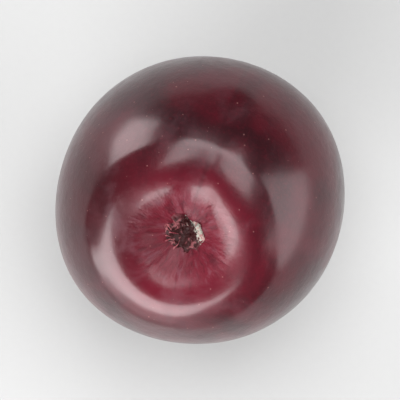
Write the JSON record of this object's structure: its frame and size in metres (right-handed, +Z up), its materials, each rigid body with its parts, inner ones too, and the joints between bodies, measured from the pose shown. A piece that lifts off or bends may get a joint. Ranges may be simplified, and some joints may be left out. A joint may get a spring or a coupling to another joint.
{
  "type": "pluot",
  "caption": "Ripe dark red pluot, picked without its stem: a round stone fruit with a stem cavity, a faint suture and a small flat spot to rest on.",
  "frame": {"origin": "centre of the small flat spot underneath that the fruit rests on", "axes": "+Z up from the surface; the stem end leans 21 degrees from upright towards a heading of 243 degrees from +X towards +Y, and the suture faces a heading of 70 degrees"},
  "size_m": [0.0444, 0.0442, 0.0429],
  "materials": {
    "skin": "waxy dark red skin, glossy where rubbed, with a thin grey bloom"
  },
  "bodies": {
    "root": {"fruit": "skin"}
  },
  "joints": []
}
